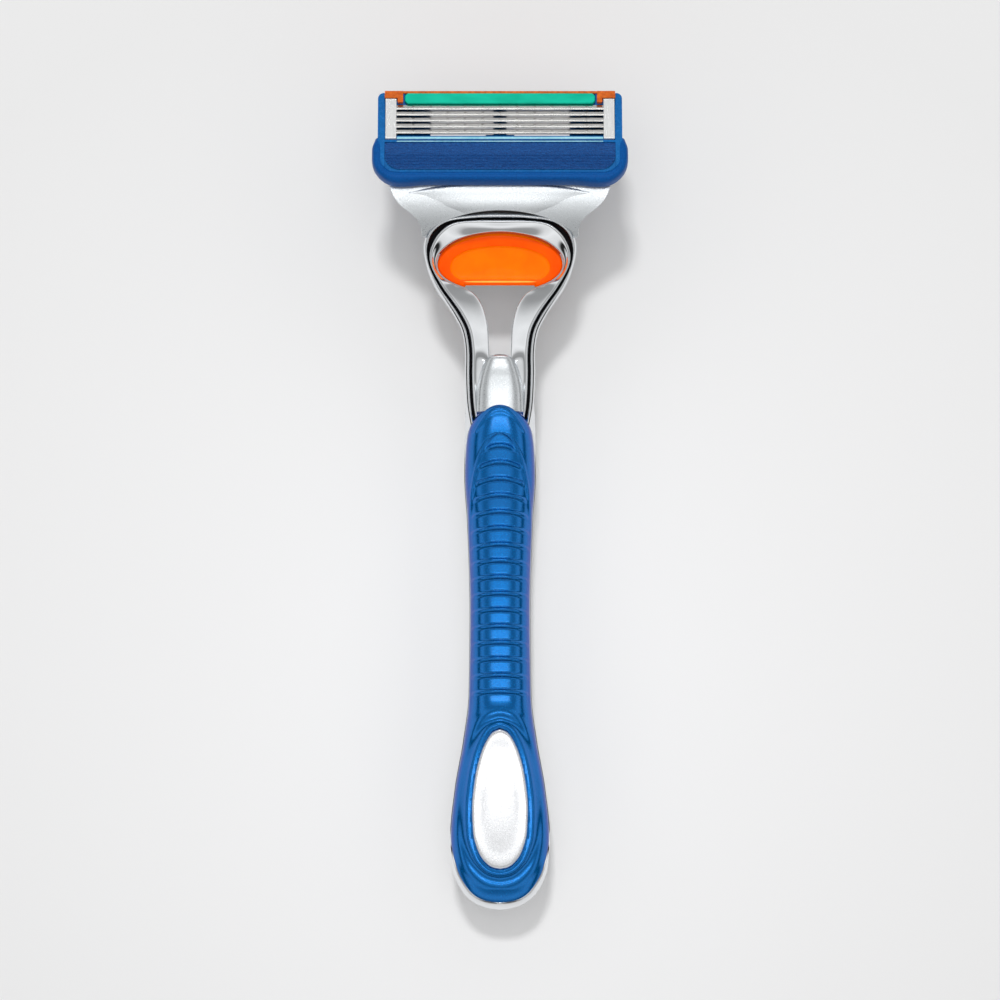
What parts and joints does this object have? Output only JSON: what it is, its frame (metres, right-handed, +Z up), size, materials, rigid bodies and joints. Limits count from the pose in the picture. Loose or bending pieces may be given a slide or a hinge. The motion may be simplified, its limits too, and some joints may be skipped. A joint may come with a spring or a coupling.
{
  "type": "cartridge razor",
  "caption": "Wet-shave razor: waisted soft-grip handle, forked metal neck with a push button, and a pivoting multi-blade cartridge with guard fins and a lubricating strip.",
  "frame": {"origin": "centre of the bounding box's bottom face, on the surface that the razor lies on", "axes": "+Y from the handle's tail to the cartridge, +Z up out of the front of the handle, with the blades up, +X to the razor's right"},
  "size_m": [0.0422, 0.137, 0.0236],
  "materials": {
    "chrome": "polished",
    "satin_metal": "satin silver paint",
    "badge_silver": "fine metallic",
    "blue_elastomer": "pearl blue elastomer",
    "guard_blue": "soft blue elastomer",
    "housing_blue": "gloss blue",
    "dock_grey": "fine matte",
    "spring_steel": "drawn wire",
    "button_orange": "translucent orange",
    "orange_core": "moulded",
    "strip_green": "waxy green",
    "trimmer_orange": "gloss orange",
    "blade_steel": "ground",
    "support_steel": "rolled",
    "clip_aluminium": "bright rolled"
  },
  "bodies": {
    "handle": {"handle_casing": "chrome", "front_bezel": "chrome", "neck_insert": "satin_metal", "front_grip": "blue_elastomer", "back_pad": "blue_elastomer", "badge": "badge_silver", "dock_upper": "dock_grey", "dock_lower": "dock_grey", "plunger_spring": "spring_steel"},
    "button": {"release_button": "button_orange", "button_pusher": "orange_core"},
    "plunger": {"plunger": "orange_core"},
    "connector": {"connecting_member": "satin_metal"},
    "blade_unit": {"blade_housing": "housing_blue", "guard_strip": "guard_blue", "lubricating_strip": "strip_green", "trimmer_carrier": "trimmer_orange", "trimmer_blade": "blade_steel", "clip_left": "clip_aluminium", "clip_right": "clip_aluminium", "blade_spring_fingers": "housing_blue"},
    "blade_1_carriage": {"blade_1": "blade_steel", "blade_support_1": "support_steel"},
    "blade_2_carriage": {"blade_2": "blade_steel", "blade_support_2": "support_steel"},
    "blade_3_carriage": {"blade_3": "blade_steel", "blade_support_3": "support_steel"},
    "blade_4_carriage": {"blade_4": "blade_steel", "blade_support_4": "support_steel"},
    "blade_5_carriage": {"blade_5": "blade_steel", "blade_support_5": "support_steel"}
  },
  "joints": [
    {"name": "cartridge_release", "type": "slide", "parent": "handle", "child": "connector", "axis": [0, 0.9397, 0.342], "range_m": [0, 0.014]},
    {"name": "blade_unit_pivot", "type": "hinge", "parent": "connector", "child": "blade_unit", "pos_m": [0, 0.05575, 0.02033], "axis": [-1, 0, 0], "range_deg": [0, 40], "stiffness_Nm_per_rad": 0.004, "springref_deg": -14.32},
    {"name": "plunger_slide", "type": "slide", "parent": "handle", "child": "plunger", "axis": [0, -0.9397, -0.342], "range_m": [0, 0.00284], "deforming": ["plunger_spring"]},
    {"name": "release_button_slide", "type": "slide", "parent": "handle", "child": "button", "axis": [0, 0.9397, 0.342], "range_m": [0, 0.0025], "stiffness_N_per_m": 300, "springref_m": -0.002, "deforming": ["plunger_spring"]},
    {"name": "blade_1_float", "type": "slide", "parent": "blade_unit", "child": "blade_1_carriage", "axis": [0, -0.1392, -0.9903], "range_m": [0, 0.00025], "stiffness_N_per_m": 150, "springref_m": -0.0005, "deforming": ["blade_spring_fingers"]},
    {"name": "blade_2_float", "type": "slide", "parent": "blade_unit", "child": "blade_2_carriage", "axis": [0, -0.1392, -0.9903], "range_m": [0, 0.00025], "stiffness_N_per_m": 150, "springref_m": -0.0005},
    {"name": "blade_3_float", "type": "slide", "parent": "blade_unit", "child": "blade_3_carriage", "axis": [0, -0.1392, -0.9903], "range_m": [0, 0.00025], "stiffness_N_per_m": 150, "springref_m": -0.0005},
    {"name": "blade_4_float", "type": "slide", "parent": "blade_unit", "child": "blade_4_carriage", "axis": [0, -0.1392, -0.9903], "range_m": [0, 0.00025], "stiffness_N_per_m": 150, "springref_m": -0.0005},
    {"name": "blade_5_float", "type": "slide", "parent": "blade_unit", "child": "blade_5_carriage", "axis": [0, -0.1392, -0.9903], "range_m": [0, 0.00025], "stiffness_N_per_m": 150, "springref_m": -0.0005}
  ],
  "couplings": [
    {"joint": "plunger_slide", "follows": "blade_unit_pivot", "m_per_rad": 0.0040665}
  ]
}
